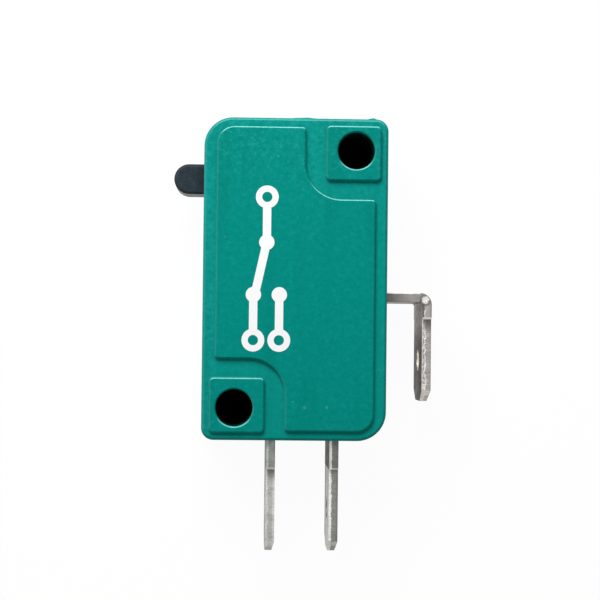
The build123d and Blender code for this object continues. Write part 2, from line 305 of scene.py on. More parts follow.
    def backdrop(self, lighting: Socket, seen: Socket) -> Socket:
        """Part what the camera, reflections and glass see from what lights the part.

        Args:
            lighting: The shader that lights the part.
            seen: The shader that is seen.

        Returns:
            The joined shader's socket.
        """
        path = self.node("ShaderNodeLightPath").outputs
        share = self.larger(path["Is Camera Ray"], path["Is Glossy Ray"])
        share = self.larger(share, path["Is Transmission Ray"])
        return self.node("ShaderNodeMixShader", {0: share, 1: lighting, 2: seen}).outputs[0]


Port = Tuple[str, Kind]  # name and kind of a group's input or output


def ports(kind: Kind, *names: str) -> Tuple[Port, ...]:
    """Name several inputs or outputs of one kind."""
    return tuple((name, kind) for name in names)


class Effect:
    """A shader node group that several finishes share, built on its first use."""

    title = ""
    takes: Tuple[Port, ...] = ()
    gives: Tuple[Port, ...] = ()

    def wire(self, graph: Graph, given: Sockets) -> Given:
        """Lay out the nodes between the group's inputs and outputs.

        Args:
            graph: The group's tree.
            given: The group's inputs by name.

        Returns:
            What feeds each output, by name.
        """
        raise NotImplementedError

    def tree(self) -> bpy.types.NodeTree:
        """Build the group, or find it where it already exists.

        Returns:
            The group.
        """
        known = bpy.data.node_groups.get(self.title)
        if known:
            return known
        made = bpy.data.node_groups.new(self.title, "ShaderNodeTree")
        for way, side in (("INPUT", self.takes), ("OUTPUT", self.gives)):
            for name, kind in side:
                made.interface.new_socket(name, in_out=way, socket_type=kind.value)
        graph = Graph(made)
        given = graph.node("NodeGroupInput").outputs
        graph.node("NodeGroupOutput", self.wire(graph, given))
        return made

    def put(self, graph: Graph, values: Given, source: Optional[object] = None) -> Sockets:
        """Place the group in a material.

        Args:
            graph: The material's tree.
            values: Constants or links for the group's inputs, by name.
            source: What gives every other input by its field of that name.

        Returns:
            The placed group's outputs by name.
        """
        names = [name for name, _ in self.takes if name not in values]
        fields = {name: getattr(source, name.lower().replace(" ", "_")) for name in names}
        made = graph.node("ShaderNodeGroup", {**fields, **values}, node_tree=self.tree())
        return made.outputs


class SoftEdge(Effect):
    """Rounds the look of edges and marks where they are."""

    title = "soft edge"
    takes = ports(Kind.NUMBER, "Radius")
    gives = ports(Kind.VECTOR, "Normal") + ports(Kind.NUMBER, "Edge")
    samples = 8
    turn: Ramp = (0.004, 0.12)

    def wire(self, graph: Graph, given: Sockets) -> Given:
        """Compare the rounded normal with the plain one.

        Args:
            graph: The group's tree.
            given: The group's inputs by name.

        Returns:
            What feeds each output, by name.
        """
        bevel = graph.node("ShaderNodeBevel", {"Radius": given["Radius"]}, samples=self.samples)
        rounded = bevel.outputs["Normal"]
        likeness = graph.vectors("DOT_PRODUCT", rounded, graph.normal()).outputs["Value"]
        return {"Normal": rounded, "Edge": graph.spread(graph.minus(1.0, likeness), *self.turn)}


class SurfaceSpot(Effect):
    """A round spot at a place on the part, with a soft rim."""

    title = "surface spot"
    takes = ports(Kind.VECTOR, "Centre") + ports(Kind.NUMBER, "Radius", "Rim")
    gives = ports(Kind.NUMBER, "Mask", "Ring")

    def wire(self, graph: Graph, given: Sockets) -> Given:
        """Measure how far the surface is from the centre.

        Args:
            graph: The group's tree.
            given: The group's inputs by name.

        Returns:
            What feeds each output, by name.
        """
        past = graph.minus(graph.apart(graph.place(), given["Centre"]), given["Radius"])
        share = graph.over(past, given["Rim"])
        return {
            "Mask": graph.spread(share, -1.0, 0.0, 1.0, 0.0),
            "Ring": graph.spread(graph.unsigned(share), 0.0, 1.0, 1.0, 0.0),
        }


class MouldedSkin(Effect):
    """Colour, roughness and grain of a moulded surface."""

    title = "moulded skin"
    takes = ports(Kind.COLOUR, "Colour", "Pale", "Deep") + ports(
        Kind.NUMBER, "Mottle Size", "Flow Size", "Grain Size", "Speck Size", "Speck Cells"
    )
    gives = ports(Kind.COLOUR, "Colour") + ports(Kind.NUMBER, "Roughness", "Height")
    flow_stretch: Point = (1.0, 0.1, 1.0)
    mottle_layers: Layers = (4.0, 0.7)
    flow_layers: Layers = (2.0, 0.5)
    grain_layers: Layers = (2.0, 0.6)
    mottle_pale: Ramp = (0.48, 0.72, 0.0, 0.55)
    mottle_deep: Ramp = (0.5, 0.3, 0.0, 0.55)
    flow_deep: Ramp = (0.42, 0.66, 0.0, 0.6)
    grain_pale: Ramp = (0.5, 0.8, 0.0, 0.7)
    speck_rim: Ramp = (0.05, 0.1, 1.0, 0.0)
    speck_strength = 0.3
    speck_white = 0.25
    roughness: Ramp = (0.7, 1.3, 0.3, 0.45)
    mottle_height = 1.6

    def wire(self, graph: Graph, given: Sockets) -> Given:
        """Lay mottling, flow bands and specks on the colour.

        Args:
            graph: The group's tree.
            given: The group's inputs by name.

        Returns:
            What feeds each output, by name.
        """
        place = graph.place()
        pale, deep = given["Pale"], given["Deep"]
        mottle = graph.noise(place, given["Mottle Size"], *self.mottle_layers)
        stretched = graph.scaled(place, self.flow_stretch)
        flow = graph.noise(stretched, given["Flow Size"], *self.flow_layers)
        grain = graph.noise(place, given["Grain Size"], *self.grain_layers)
        colour: Value = given["Colour"]
        for cloud, ramp, over in (
            (mottle, self.mottle_pale, pale), (mottle, self.mottle_deep, deep),
            (flow, self.flow_deep, deep), (grain, self.grain_pale, pale),
        ):
            colour = graph.blend(graph.spread(cloud, *ramp), colour, over)
        cells = graph.node("ShaderNodeTexVoronoi", {
            "Vector": place, "Scale": graph.over(1.0, given["Speck Size"]),
        }, feature="F1").outputs
        red, _, _ = graph.axes(cells["Color"])
        chosen = graph.exceeds(red, graph.minus(1.0, given["Speck Cells"]))
        speck = graph.within(chosen, cells["Distance"], self.speck_rim)
        whitened = graph.blend(self.speck_white, pale, WHITE)
        return {
            "Colour": graph.lay(colour, (speck, self.speck_strength, whitened)),
            "Roughness": graph.spread(graph.plus(mottle, grain), *self.roughness),
            "Height": graph.plus(grain, graph.times(mottle, self.mottle_height)),
        }


class StripSides(Effect):
    """Tells the rolled faces of a stamped strip from its cut edges, along a bend too."""

    title = "strip sides"
    takes = ports(Kind.NUMBER, "Inner X", "Inner Y", "Thickness", "Bend X")
    gives = ports(Kind.NUMBER, "Across", "Cut", "Level")
    bend_blur: Ramp = (-0.2 * MM, 0.2 * MM)
    cut_turn: Ramp = (0.85, 0.6)

    def wire(self, graph: Graph, given: Sockets) -> Given:
        """Find the share across the strip and its cut faces.

        Args:
            graph: The group's tree.
            given: The group's inputs by name.

        Returns:
            What feeds each output, by name.
        """
        x, y, _ = graph.axes(graph.place())
        across = graph.larger(
            graph.over(graph.minus(x, given["Inner X"]), given["Thickness"]),
            graph.over(graph.minus(y, given["Inner Y"]), given["Thickness"]),
        )
        side_x, side_y, _ = graph.axes(graph.facing())
        upright = graph.spread(graph.minus(x, given["Bend X"]), *self.bend_blur)
        level = graph.minus(1.0, upright)
        rolled = graph.plus(
            graph.times(graph.unsigned(side_x), upright), graph.times(graph.unsigned(side_y), level)
        )
        return {"Across": across, "Cut": graph.spread(rolled, *self.cut_turn), "Level": level}


class BladeMarks(Effect):
    """Masks along a blade: painted shadow on the step below its shoulder, painted highlight on the
    shoulder's rim and on the coined tip.
    """

    title = "blade marks"
    takes = ports(Kind.NUMBER, "Shoulder Y", "Tip Y")
    gives = ports(Kind.NUMBER, "Step", "Rim", "Tip", "Stem")
    step_length: Ramp = (0.2 * MM, 1.4 * MM, 1.0, 0.0)
    rim_rise = 0.05 * MM
    rim_width: Ramp = (0.05 * MM, 0.12 * MM, 1.0, 0.0)
    tip_length: Ramp = (0.94 * MM, 1.0 * MM, 1.0, 0.0)
    tip_light: Ramp = (0.3 * MM, 0.8 * MM, 0.25, 1.0)

    def wire(self, graph: Graph, given: Sockets) -> Given:
        """Measure along the blade.

        Args:
            graph: The group's tree.
            given: The group's inputs by name.

        Returns:
            What feeds each output, by name.
        """
        _, y, _ = graph.axes(graph.place())
        below = graph.minus(given["Shoulder Y"], y)
        above = graph.minus(y, given["Tip Y"])
        stem = graph.exceeds(0.0, below)
        off = graph.unsigned(graph.plus(below, self.rim_rise))
        tip = graph.spread(above, *self.tip_length)
        # Step: painted shadow below the shoulder; Rim: painted highlight on its rim; Tip: painted
        # highlight on the coined tip.
        return {
            "Step": graph.within(graph.minus(1.0, stem), below, self.step_length),
            "Rim": graph.spread(off, *self.rim_width),
            "Tip": graph.within(tip, above, self.tip_light),
            "Stem": stem,
        }


class CutEdge(Effect):
    """Sheared edge of a stamping: a torn band beside a smoother one, parted by a jagged lip, with a
    painted highlight along its inner corner and a far band partly of painted light and shade.
    """

    title = "cut edge"
    takes = ports(Kind.COLOUR, "Bright", "Torn", "Plain", "Far") + ports(
        Kind.NUMBER, "Across", "Torn Share", "Tear Size", "Tear Depth"
    )
    gives = ports(Kind.COLOUR, "Colour") + ports(Kind.NUMBER, "Height")
    lengthwise: Point = (0.12, 1.0, 0.12)
    jag_layers: Layers = (3.0, 0.6)
    crumb_layers: Layers = (2.0, 0.6)
    crumb_share = 0.4
    striae: Cloud = (0.09 * MM, 2.0, 0.6)
    smooth_from: Ramp = (-0.03, 0.05)
    lip_width: Ramp = (0.02, 0.12, 1.0, 0.0)
    rim_width: Ramp = (0.17, 0.03)
    far_band: Ramp = (0.7, 0.86)
    patchy: Ramp = (0.44, 0.6, 0.0, 0.85)
    stria_shade: Ramp = (0.3, 0.7, 0.72, 1.0)
    far_share, lip_share, rim_share = 0.8, 0.85, 0.7
    crumb_height = 1.4

    def wire(self, graph: Graph, given: Sockets) -> Given:
        """Part the two bands along a jagged line.

        Args:
            graph: The group's tree.
            given: The group's inputs by name.

        Returns:
            What feeds each output, by name.
        """
        place = graph.place()
        bright, across, size = given["Bright"], given["Across"], given["Tear Size"]
        along = graph.scaled(place, self.lengthwise)
        jag = graph.noise(along, size, *self.jag_layers)
        crumb_size = graph.times(size, self.crumb_share)
        crumb = graph.noise(place, crumb_size, *self.crumb_layers)
        shift = graph.times(graph.minus(jag, NOISE_MEAN), given["Tear Depth"])
        past = graph.minus(across, graph.plus(given["Torn Share"], shift))
        smooth = graph.spread(past, *self.smooth_from)
        base = graph.blend(graph.spread(crumb, *self.patchy), given["Torn"], bright)
        base = graph.lay(
            graph.blend(smooth, base, given["Plain"]),
            # far band: tone of the far corner, partly painted light and shade
            (graph.spread(across, *self.far_band), self.far_share, given["Far"]),
            (graph.spread(graph.unsigned(past), *self.lip_width), self.lip_share, bright),
            # painted highlight along the inner corner
            (graph.spread(across, *self.rim_width), self.rim_share, bright),
        )
        shade = graph.spread(graph.noise(along, *self.striae), *self.stria_shade)
        shades = graph.node("ShaderNodeCombineColor", {0: shade, 1: shade, 2: shade}).outputs[0]
        return {
            "Colour": graph.blend(1.0, base, shades, Join.MULTIPLY),
            "Height": graph.plus(smooth, graph.times(crumb, self.crumb_height)),
        }


class Tarnish(Effect):
    """Blotches and fine scratches that dull a metal unevenly."""

    title = "tarnish"
    takes = ports(Kind.COLOUR, "Colour", "Dull") + ports(Kind.VECTOR, "Stretch") + ports(
        Kind.NUMBER, "Blotch Size", "Scratch Size", "Low Roughness", "High Roughness"
    )
    gives = ports(Kind.COLOUR, "Colour") + ports(Kind.NUMBER, "Roughness", "Height")
    blotch_layers: Layers = (4.0, 0.6)
    scratch_layers: Layers = (3.0, 0.7)
    blotch_share: Ramp = (0.4, 0.66)
    scratch_share: Ramp = (0.56, 0.75, 0.0, 0.5)
    rough_from, rough_to = 0.75, 1.25

    def wire(self, graph: Graph, given: Sockets) -> Given:
        """Lay blotches and scratches over the colour.

        Args:
            graph: The group's tree.
            given: The group's inputs by name.

        Returns:
            What feeds each output, by name.
        """
        place = graph.place()
        dull = given["Dull"]
        blotch = graph.noise(place, given["Blotch Size"], *self.blotch_layers)
        stretched = graph.scaled(place, given["Stretch"])
        scratch = graph.noise(stretched, given["Scratch Size"], *self.scratch_layers)
        colour = graph.blend(graph.spread(blotch, *self.blotch_share), given["Colour"], dull)
        rough = graph.node("ShaderNodeMapRange", {
            "Value": graph.plus(blotch, scratch), "From Min": self.rough_from,
            "From Max": self.rough_to, "To Min": given["Low Roughness"],
            "To Max": given["High Roughness"],
        })
        return {
            "Colour": graph.blend(graph.spread(scratch, *self.scratch_share), colour, dull),
            "Roughness": rough.outputs["Result"], "Height": scratch,
        }


@dataclass(frozen=True)
class Finish:
    """A material, built once and laid on any number of pieces. Lengths in metres."""

    title: str = ""
    edge_radius: float = 0.1 * MM
    relief_depth: float = 0.004 * MM
    relief_share: float = 0.4

    def shade(self, graph: Graph, surface: Node) -> None:
        """Wire the finish into its Principled surface.

        Args:
            graph: The material's tree.
            surface: The Principled node.
        """
        raise NotImplementedError

    def material(self) -> bpy.types.Material:
        """Build the material, or find it where it already exists.

        Returns:
            The material.
        """
        made = bpy.data.materials.get(self.title)
        if not made:
            made = bpy.data.materials.new(self.title)
            made.use_nodes = True
            self.shade(Graph(made.node_tree), made.node_tree.nodes["Principled BSDF"])
        return made

    def lay_on(self, *things: Thing) -> None:
        """Lay the finish on objects in place of whatever they had.

        Args:
            things: The objects.
        """
        for thing in things:
            if thing.material_slots:
                thing.material_slots[0].material = self.material()
            else:
                thing.data.materials.append(self.material())

    def edge(self, graph: Graph) -> Sockets:
        """Soften the edges."""
        return SoftEdge().put(graph, {"Radius": self.edge_radius})

    def dress(
        self, graph: Graph, surface: Node, colour: Value, rough: Value,
        height: Socket, normal: Socket,
    ) -> None:
        """Give the surface its colour, roughness and relief.

        Args:
            graph: The material's tree.
            surface: The Principled node.
            colour: Its colour.
            rough: Its roughness.
            height: Height of its relief, in units of the relief's depth.
            normal: The normal beneath the relief.
        """
        bump = graph.node("ShaderNodeBump", {
            "Height": height, "Distance": self.relief_depth, "Strength": self.relief_share,
            "Normal": normal,
        })
        graph.feed(surface, {
            "Base Color": colour, "Roughness": rough, "Normal": bump.outputs["Normal"],
        })


@dataclass(frozen=True)
class Blemish:
    """One pale speck or round mould mark on the housing, in millimetres."""

    centre: Point
    radius: float = 0.9
    rim: float = 0.09


@dataclass(frozen=True)
class MouldedPlastic(Finish):
    """What the plastics share: moulded skin and pale edges, partly wear and partly painted
    highlight.
    """

    colour: Colour = WHITE
    pale: Colour = WHITE
    deep: Colour = WHITE
    # pale tone of the edges: partly wear, partly painted highlight
    rubbed: Colour = WHITE
    edge_share: float = 0.06
    specular: float = 0.03
    mottle_size: float = 0.45 * MM
    flow_size: float = 2.4 * MM
    grain_size: float = 0.13 * MM
    speck_size: float = 0.9 * MM
    speck_cells: float = 0.05

    def skin(self, graph: Graph) -> Sockets:
        """Lay the moulded skin."""
        return MouldedSkin().put(graph, {}, self)


@dataclass(frozen=True)
class HousingPlastic(MouldedPlastic):
    """Matt moulded plastic of both housing halves."""

    title: str = "housing_plastic"
    relief_depth: float = 0.005 * MM
    colour: Colour = tone(1, 139, 129)
    pale: Colour = tone(13, 153, 144)
    deep: Colour = tone(0, 128, 117)
    rubbed: Colour = tone(136, 220, 216)
    chalky: Colour = tone(38, 160, 152)
    seam_tone: Colour = tone(1, 52, 48)
    speck_tone: Colour = tone(110, 196, 188)
    # painted shade on the bore walls
    bore_tone: Colour = tone(0, 34, 34)
    recess_lift: Colour = (0.0017, 0.028, 0.0275, 1.0)
    recess: Ramp = (9.9 * MM, 10.12 * MM, 1.0, 0.0)
    chalk: Cloud = (0.4 * MM, 4.0, 0.75)
    chalk_far: Ramp = (14.5 * MM, 24.5 * MM, 0.1, 1.0)
    chalk_beside: Ramp = (-2.0 * MM, -1.4 * MM, 0.9, 0.0)
    chalk_pale: Ramp = (0.48, 0.78, 0.0, 0.9)
    chalk_deep: Ramp = (0.5, 0.3, 0.0, 0.7)
    bore_radius: float = 1.6 * MM
    bore_depth: Ramp = (10.14 * MM, 9.75 * MM, 0.0, 0.9)
    # these fields place the painted highlight on rims and edges facing up and left, and break it up
    slope: Ramp = (0.4, 0.6)
    upper_turn: Ramp = (0.3, 0.62)
    left_turn: Ramp = (-0.45, -0.65)
    left_share: float = 0.07
    rim_height: Ramp = (9.7 * MM, 9.78 * MM, 0.0, 0.35)
    ridge_height: Ramp = (10.19 * MM, 10.23 * MM)
    chips: Cloud = (0.3 * MM, 3.0, 0.7)
    chip_share: Ramp = (0.3, 0.6, 0.62, 1.0)
    seam_height: float = 6.91 * MM
    seam_width: Ramp = (0.014 * MM, 0.035 * MM, 1.0, 0.0)
    seam_share: float = 0.75
    speck_share: float = 0.25
    pin_share: float = 0.3
    dent: float = 6.0
    specks: Tuple[Blemish, ...] = (
        Blemish((5.05, 0.55, 10.3), 0.13), Blemish((6.05, 0.05, 10.3), 0.19, 0.13),
        Blemish((7.95, 0.1, 10.3), 0.17, 0.12),
    )
    pins: Tuple[Blemish, ...] = (
        Blemish((-0.6, 15.4, 0.0)), Blemish((10.4, 7.6, 0.0)), Blemish((7.4, -0.7, 0.0)),
        Blemish((2.9, 22.9, 0.0)),
    )

    def spots(self, graph: Graph, places: Tuple[Blemish, ...], output: str) -> Value:
        """Join the masks of several round spots.

        Args:
            graph: The material's tree.
            places: The spots.
            output: Which output of the spot to take.

        Returns:
            The joined mask's socket.
        """
        joined: Value = 0.0
        for place in places:
            spot = SurfaceSpot().put(graph, {
                "Centre": tuple(way * MM for way in place.centre), "Radius": place.radius * MM,
                "Rim": place.rim * MM,
            })
            joined = graph.larger(joined, spot[output])
        return joined

    def chalked(self, graph: Graph, colour: Socket) -> Socket:
        """Lay fine chalky patches over the colour, more of them towards the far end.

        Args:
            graph: The material's tree.
            colour: The colour beneath.

        Returns:
            The colour's socket.
        """
        x, y, _ = graph.axes(graph.place())
        share = graph.larger(
            graph.spread(y, *self.chalk_far), graph.spread(x, *self.chalk_beside)
        )
        patch = graph.noise(graph.place(), *self.chalk)
        pale = graph.within(share, patch, self.chalk_pale)
        deep = graph.within(share, patch, self.chalk_deep)
        return graph.blend(deep, graph.blend(pale, colour, self.chalky), self.deep)

    def bore_mask(self, graph: Graph, height: Socket) -> Socket:
        """Where the bore walls take painted shade, from below their mouths down.

        Args:
            graph: The material's tree.
            height: Height on the part, in metres.

        Returns:
            The mask's socket.
        """
        flat = graph.scaled(graph.place(), (1.0, 1.0, 0.0))
        joined: Value = 0.0
        for centre in BORES:
            inside = graph.exceeds(self.bore_radius, graph.apart(flat, centre))
            joined = graph.larger(joined, inside)
        return graph.within(joined, height, self.bore_depth)

    def rub_mask(self, graph: Graph, height: Socket, low: Socket, edge: Socket) -> Socket:
        """Where rims and edges look pale: painted highlight on those facing up and left, broken up
        by noise, and faint wear on all edges.

        Args:
            graph: The material's tree.
            height: Height on the part, in metres.
            low: Mask of what lies below the raised panel.
            edge: Mask of the edges.

        Returns:
            The mask's socket.
        """
        side_x, side_y, side_z = graph.axes(graph.facing())
        sloping = graph.spread(side_z, *self.slope)
        on_rim = graph.within(low, height, self.rim_height)
        upper = graph.times(
            graph.within(sloping, side_y, self.upper_turn),
            graph.larger(on_rim, graph.spread(height, *self.ridge_height)),
        )
        chips = graph.noise(graph.place(), *self.chips)
        left = graph.within(sloping, side_x, self.left_turn)
        rub = graph.larger(
            graph.within(upper, chips, self.chip_share), graph.times(left, self.left_share)
        )
        return graph.larger(rub, graph.times(edge, self.edge_share))

    def shade(self, graph: Graph, surface: Node) -> None:
        """Wire the plastic.

        Args:
            graph: The material's tree.
            surface: The Principled node.
        """
        skin, edge = self.skin(graph), self.edge(graph)
        _, _, height = graph.axes(graph.place())
        low = graph.spread(height, *self.recess)
        colour = graph.blend(low, skin["Colour"], self.recess_lift, Join.ADD)
        # Painted shade on the bore walls.
        colour = graph.blend(
            self.bore_mask(graph, height), self.chalked(graph, colour), self.bore_tone
        )
        # Pale edges: painted highlight on those facing up and left, faint wear on all.
        colour = graph.blend(self.rub_mask(graph, height, low, edge["Edge"]), colour, self.rubbed)
        rings = self.spots(graph, self.pins, "Ring")
        off = graph.unsigned(graph.minus(height, self.seam_height))
        seam = graph.spread(off, *self.seam_width)
        colour = graph.lay(
            colour, (self.spots(graph, self.specks, "Mask"), self.speck_share, self.speck_tone),
            (rings, self.pin_share, self.deep), (seam, self.seam_share, self.seam_tone),
        )
        relief = graph.minus(skin["Height"], graph.times(graph.larger(rings, seam), self.dent))
        graph.feed(surface, {"Specular IOR Level": self.specular})
        self.dress(graph, surface, colour, skin["Roughness"], relief, edge["Normal"])


@dataclass(frozen=True)
class PlungerPlastic(MouldedPlastic):
    """Dark, slightly glossy plastic of the plunger."""

    title: str = "plunger_plastic"
    edge_radius: float = 0.14 * MM
    relief_share: float = 0.5
    colour: Colour = tone(35, 47, 54)
    pale: Colour = tone(58, 69, 76)
    deep: Colour = tone(23, 33, 39)
    rubbed: Colour = tone(96, 108, 116)
    edge_share: float = 0.25
    specular: float = 0.12
    mottle_size: float = 0.5 * MM
    flow_size: float = 1.4 * MM
    grain_size: float = 0.1 * MM
    speck_size: float = 0.7 * MM
    speck_cells: float = 0.04

    def shade(self, graph: Graph, surface: Node) -> None:
        """Wire the plastic.

        Args:
            graph: The material's tree.
            surface: The Principled node.
        """
        skin, edge = self.skin(graph), self.edge(graph)
        # Pale edges all round: partly wear, partly painted highlight.
        colour = graph.lay(skin["Colour"], (edge["Edge"], self.edge_share, self.rubbed))
        graph.feed(surface, {"Specular IOR Level": self.specular})
        self.dress(graph, surface, colour, skin["Roughness"], skin["Height"], edge["Normal"])


@dataclass(frozen=True)
class StampedBrass(Finish):
    """Tin-plated brass strip of a terminal, with sheared edges and a brass-coloured hole."""

    edge_radius: float = 0.09 * MM
    relief_depth: float = 0.02 * MM
    relief_share: float = 0.6
    metallic: float = 0.8
    grazing_tint: Colour = (0.3, 0.29, 0.28, 1.0)
    # rolled faces, with painted light and shade along their width and by the way they face
    face_near: Colour = tone(196, 197, 192)
    face_far: Colour = tone(120, 120, 116)
    stem_face: Colour = tone(150, 150, 146)
    outer_face: Colour = tone(186, 186, 181)
    outer_turn: Ramp = (0.0, 0.5)
    front_z: float = 8.325 * MM
    stain_from: float = 6.2 * MM
    stain_to: float = 3.0 * MM
    stem_fade: float = 0.05 * MM
    # sheared edges
    bright: Colour = tone(222, 222, 218)
    torn: Colour = tone(186, 187, 182)
    plain: Colour = tone(186, 188, 183)
    far: Colour = tone(222, 223, 218)
    torn_share: float = 0.2
    tear_size: float = 0.5 * MM
    tear_depth: float = 0.8
    # marks of stem, shoulder, arm and tip on the sheared edges: painted light and shade across the
    # stem, painted shadow below the shoulder and on the arm towards the housing, painted highlights
    # on rims, bend and tip
    stem_tone: Colour = tone(134, 138, 133)
    stem_band: Ramp = (0.2, 0.36)
    margin_tone: Colour = tone(166, 172, 166)
    margin_band: Ramp = (0.24, 0.14)
    stem_share: float = 0.85
    step_tone: Colour = tone(100, 101, 97)
    step_band: Ramp = (0.1, 0.3)
    last_band: Ramp = (0.84, 0.94)
    last_share: float = 0.6
    mark_share: float = 0.8
    tip_tone: Colour = tone(236, 237, 232)
    rim_tone: Colour = tone(232, 231, 227)
    rim_share: float = 0.35
    arm_tone: Colour = tone(150, 146, 143)
    arm_dark: Colour = tone(104, 102, 100)
    arm_from: float = 2.6 * MM
    arm_to: float = 0.5 * MM
    arm_rim: Ramp = (0.84, 0.93)
    arm_share: float = 0.92
    # where the strip, its bend, the corner with the painted glint and its hole lie
    inner_x: float = 0.0
    inner_y: float = 1.0
    bend_x: float = -1.0
    thickness: float = 0.8 * MM
    shoulder_y: float = 0.0
    tip_y: float = -1.0
    corner: Point = (0.0, 0.0, -1.0)
    corner_radius: float = 0.42 * MM
    corner_rim: float = 0.2 * MM
    corner_share: float = 0.6
    crumbs: Cloud = (0.35 * MM, 2.0, 0.6)
    crumb_share: Ramp = (0.38, 0.5)
    hole: Point = (0.0, 0.0, 0.0)
    hole_radius: float = 0.98 * MM
    hole_reach: float = 1.12
    hole_rim: float = 0.1 * MM
    hole_tone: Colour = tone(252, 243, 230)
    # tarnish
    dulling: Ramp = (0.0, 1.0, 0.07, 0.22)
    blotch_size: float = 0.9 * MM
    scratch_size: float = 0.08 * MM
    stretch: Point = (1.0, 0.12, 1.0)
    low_roughness: float = 0.3
    high_roughness: float = 0.55
    scratch_height: float = 0.35

    def rolled_colour(self, graph: Graph) -> Socket:
        """Colour of the rolled faces, with painted light and shade along their width and by the way
        they face.

        Args:
            graph: The material's tree.

        Returns:
            The colour's socket.
        """
        _, y, z = graph.axes(graph.place())
        near = graph.spread(z, self.front_z - self.stain_from, self.front_z - self.stain_to)
        colour = graph.blend(near, self.face_far, self.face_near)
        stemward = graph.spread(y, self.shoulder_y - self.stem_fade, self.shoulder_y)
        colour = graph.blend(stemward, colour, self.stem_face)
        side_x, _, _ = graph.axes(graph.facing())
        return graph.blend(graph.spread(side_x, *self.outer_turn), colour, self.outer_face)

    def cut_colour(self, graph: Graph, sides: Sockets, marks: Sockets, cut: Sockets) -> Socket:
        """Colour of the cut edges with the painted light and shade of stem, shoulder, arm, bend and
        tip.

        Args:
            graph: The material's tree.
            sides: Share across the strip and masks of its sides.
            marks: Masks along the blade.
            cut: The sheared edge's outputs.

        Returns:
            The colour's socket.
        """
        across, stem = sides["Across"], marks["Stem"]
        x, _, _ = graph.axes(graph.place())
        # The arm's edge darkens towards the housing with painted shade, and its upper rim takes a
        # painted highlight.
        near_bend = graph.spread(x, self.bend_x - self.arm_from, self.bend_x - self.arm_to)
        arm = graph.blend(near_bend, self.arm_dark, self.arm_tone)
        arm = graph.blend(graph.spread(across, *self.arm_rim), arm, self.rim_tone)
        # Painted glint on the bend's corner, with a ring of painted shade around it.
        spot = SurfaceSpot().put(graph, {
            "Centre": self.corner, "Radius": self.corner_radius, "Rim": self.corner_rim,
        })
        # Painted shadow on the edge below the shoulder.
        step = graph.within(marks["Step"], across, self.step_band)
        # The stem's bands are painted light and shade across its edge.
        colour = graph.lay(
            cut["Colour"],
            (graph.within(stem, across, self.stem_band), self.stem_share, self.stem_tone),
            (graph.within(stem, across, self.margin_band), self.stem_share, self.margin_tone),
            (graph.within(stem, across, self.last_band), self.last_share, self.step_tone),
            (sides["Level"], self.arm_share, arm),
            (step, self.mark_share, self.step_tone),
            (marks["Tip"], self.mark_share, self.tip_tone),
            (spot["Ring"], self.corner_share, self.step_tone),
        )
        # Noise breaks up the painted glint.
        crumbs = graph.noise(graph.place(), *self.crumbs)
        broken = graph.within(spot["Mask"], crumbs, self.crumb_share)
        return graph.blend(broken, colour, self.rim_tone)

    def shade(self, graph: Graph, surface: Node) -> None:
        """Wire the strip.

        Args:
            graph: The material's tree.
            surface: The Principled node.
        """
        sides = StripSides().put(graph, {}, self)
        marks = BladeMarks().put(graph, {}, self)
        cut = CutEdge().put(graph, {"Across": sides["Across"]}, self)
        spot = SurfaceSpot().put(graph, {
            "Centre": self.hole, "Radius": self.hole_radius * self.hole_reach,
            "Rim": self.hole_rim,
        })
        edge, is_cut = self.edge(graph), sides["Cut"]
        colour = graph.blend(
            is_cut, self.rolled_colour(graph), self.cut_colour(graph, sides, marks, cut)
        )
        # Painted highlight along the shoulder's rim.
        rim = graph.times(marks["Rim"], is_cut)
        colour = graph.lay(colour, (rim, self.rim_share, self.rim_tone))
        colour = graph.blend(graph.times(spot["Mask"], is_cut), colour, self.hole_tone)
        dulled = graph.blend(graph.spread(is_cut, *self.dulling), colour, BLACK)
        worn = Tarnish().put(graph, {"Colour": colour, "Dull": dulled}, self)
        height = graph.plus(
            graph.times(worn["Height"], self.scratch_height), graph.times(cut["Height"], is_cut)
        )
        graph.feed(surface, {"Metallic": self.metallic, "Specular Tint": self.grazing_tint})
        self.dress(graph, surface, worn["Colour"], worn["Roughness"], height, edge["Normal"])


@dataclass(frozen=True)
class SpringMetal(Finish):
    """Satin metal of the small inner pieces, by itself that of the steel lever."""

    title: str = "steel_strip"
    edge_radius: float = 0.04 * MM
    relief_depth: float = 0.01 * MM
    colour: Colour = tone(176, 176, 174)
    dull: Colour = tone(132, 130, 128)
    bare: Colour = tone(225, 222, 216)
    bare_share: float = 0.3
    blotch_size: float = 0.8 * MM
    scratch_size: float = 0.06 * MM
    stretch: Point = (1.0, 0.08, 1.0)
    low_roughness: float = 0.24
    high_roughness: float = 0.42

    def shade(self, graph: Graph, surface: Node) -> None:
        """Wire the metal.

        Args:
            graph: The material's tree.
            surface: The Principled node.
        """
        worn, edge = Tarnish().put(graph, {}, self), self.edge(graph)
        colour = graph.lay(worn["Colour"], (edge["Edge"], self.bare_share, self.bare))
        graph.feed(surface, {"Metallic": 1.0})
        self.dress(graph, surface, colour, worn["Roughness"], worn["Height"], edge["Normal"])


@dataclass(frozen=True)
class PadInk(Finish):
    """White printing ink, thin enough for the moulded grain to show."""

    title: str = "print_ink"
    thin: Colour = tone(250, 254, 254)
    patches: Cloud = (0.5 * MM, 4.0, 0.65)
    thin_share: Ramp = (0.5, 0.75)
    grain: Cloud = (0.14 * MM, 2.0, 0.6)
    roughness: Ramp = (0.3, 0.7, 0.5, 0.65)
    specular: float = 0.2

    def shade(self, graph: Graph, surface: Node) -> None:
        """Wire the ink.

        Args:
            graph: The material's tree.
            surface: The Principled node.
        """
        place = graph.place()
        patch = graph.noise(place, *self.patches)
        grain = graph.noise(place, *self.grain)
        colour = graph.blend(graph.spread(patch, *self.thin_share), WHITE, self.thin)
        graph.feed(surface, {"Specular IOR Level": self.specular})
        rough = graph.spread(grain, *self.roughness)
        self.dress(graph, surface, colour, rough, grain, graph.normal())


